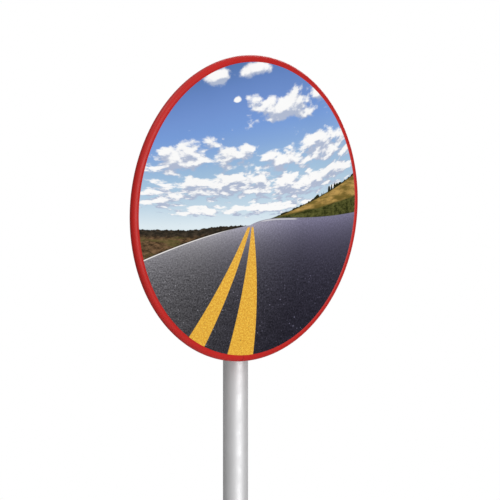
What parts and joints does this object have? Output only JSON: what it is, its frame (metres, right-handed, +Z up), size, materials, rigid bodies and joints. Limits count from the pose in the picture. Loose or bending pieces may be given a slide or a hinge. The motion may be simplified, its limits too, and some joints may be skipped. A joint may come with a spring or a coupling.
{
  "type": "traffic convex mirror",
  "caption": "Round convex road mirror with a red edge, carried by a tilt and swivel bracket that clamps round an upright post with a bolted foot.",
  "frame": {"origin": "middle of the foot's underside, on the post's axis, at ground level", "axes": "+Z up along the post; the mirror faces -Y, tilted a little down; +X is to the right for a person looking into it"},
  "size_m": [0.6, 0.2815, 1.895],
  "materials": {
    "mirror_face": "polished, silvered behind a clear sheet",
    "red_edge": "semi-gloss moulded plastic",
    "red_shell": "satin moulded plastic",
    "post_paint": "smooth light grey powder coat",
    "bracket_paint": "light grey powder coat",
    "zinc_steel": "bright zinc plate",
    "rubber_liner": "matt",
    "black_plastic": "fine moulded grain"
  },
  "bodies": {
    "post": {"post_tube": "post_paint", "post_cap": "black_plastic", "base_plate": "post_paint", "gusset_1": "post_paint", "gusset_2": "post_paint", "gusset_3": "post_paint", "gusset_4": "post_paint"},
    "liner": {"clamp_liner": "rubber_liner"},
    "clamp": {"clamp_front": "bracket_paint", "clamp_rear": "bracket_paint", "clamp_bolt_1": "zinc_steel", "clamp_bolt_2": "zinc_steel", "clamp_bolt_3": "zinc_steel", "clamp_bolt_4": "zinc_steel", "clamp_nut_1": "zinc_steel", "clamp_nut_2": "zinc_steel", "clamp_nut_3": "zinc_steel", "clamp_nut_4": "zinc_steel", "swivel_arm": "bracket_paint", "arm_gusset": "bracket_paint", "swivel_barrel": "bracket_paint"},
    "yoke": {"yoke": "bracket_paint", "swivel_bolt": "zinc_steel", "swivel_nut": "zinc_steel", "swivel_washer_top": "zinc_steel", "swivel_washer_bottom": "zinc_steel", "tilt_bolt_left": "zinc_steel", "tilt_washer_left": "zinc_steel", "tilt_nut_left": "zinc_steel", "tilt_bolt_right": "zinc_steel", "tilt_washer_right": "zinc_steel", "tilt_nut_right": "zinc_steel"},
    "mirror_head": {"mirror_lens": "mirror_face", "edge_trim": "red_edge", "back_shell": "red_shell", "backing_plate": "zinc_steel", "mirror_bracket": "bracket_paint", "bracket_bolt_1": "zinc_steel", "bracket_bolt_2": "zinc_steel", "bracket_bolt_3": "zinc_steel", "bracket_bolt_4": "zinc_steel", "bracket_washer_1": "zinc_steel", "bracket_washer_2": "zinc_steel", "bracket_washer_3": "zinc_steel", "bracket_washer_4": "zinc_steel"}
  },
  "joints": [
    {"name": "height_slide", "type": "slide", "parent": "post", "child": "liner", "axis": [0, 0, 1], "range_m": [-0.4, 0.05]},
    {"name": "clamp_turn", "type": "hinge", "parent": "liner", "child": "clamp", "pos_m": [0, 0, 1.6], "axis": [0, 0, 1], "continuous": true},
    {"name": "swivel_pan", "type": "hinge", "parent": "clamp", "child": "yoke", "pos_m": [-0.09469, -0.07371, 1.6], "axis": [0, 0, 1], "range_deg": [-112, 8]},
    {"name": "mirror_tilt", "type": "hinge", "parent": "yoke", "child": "mirror_head", "pos_m": [-0.09469, -0.08771, 1.6], "axis": [1, 0, 0], "range_deg": [-14, 10]}
  ]
}
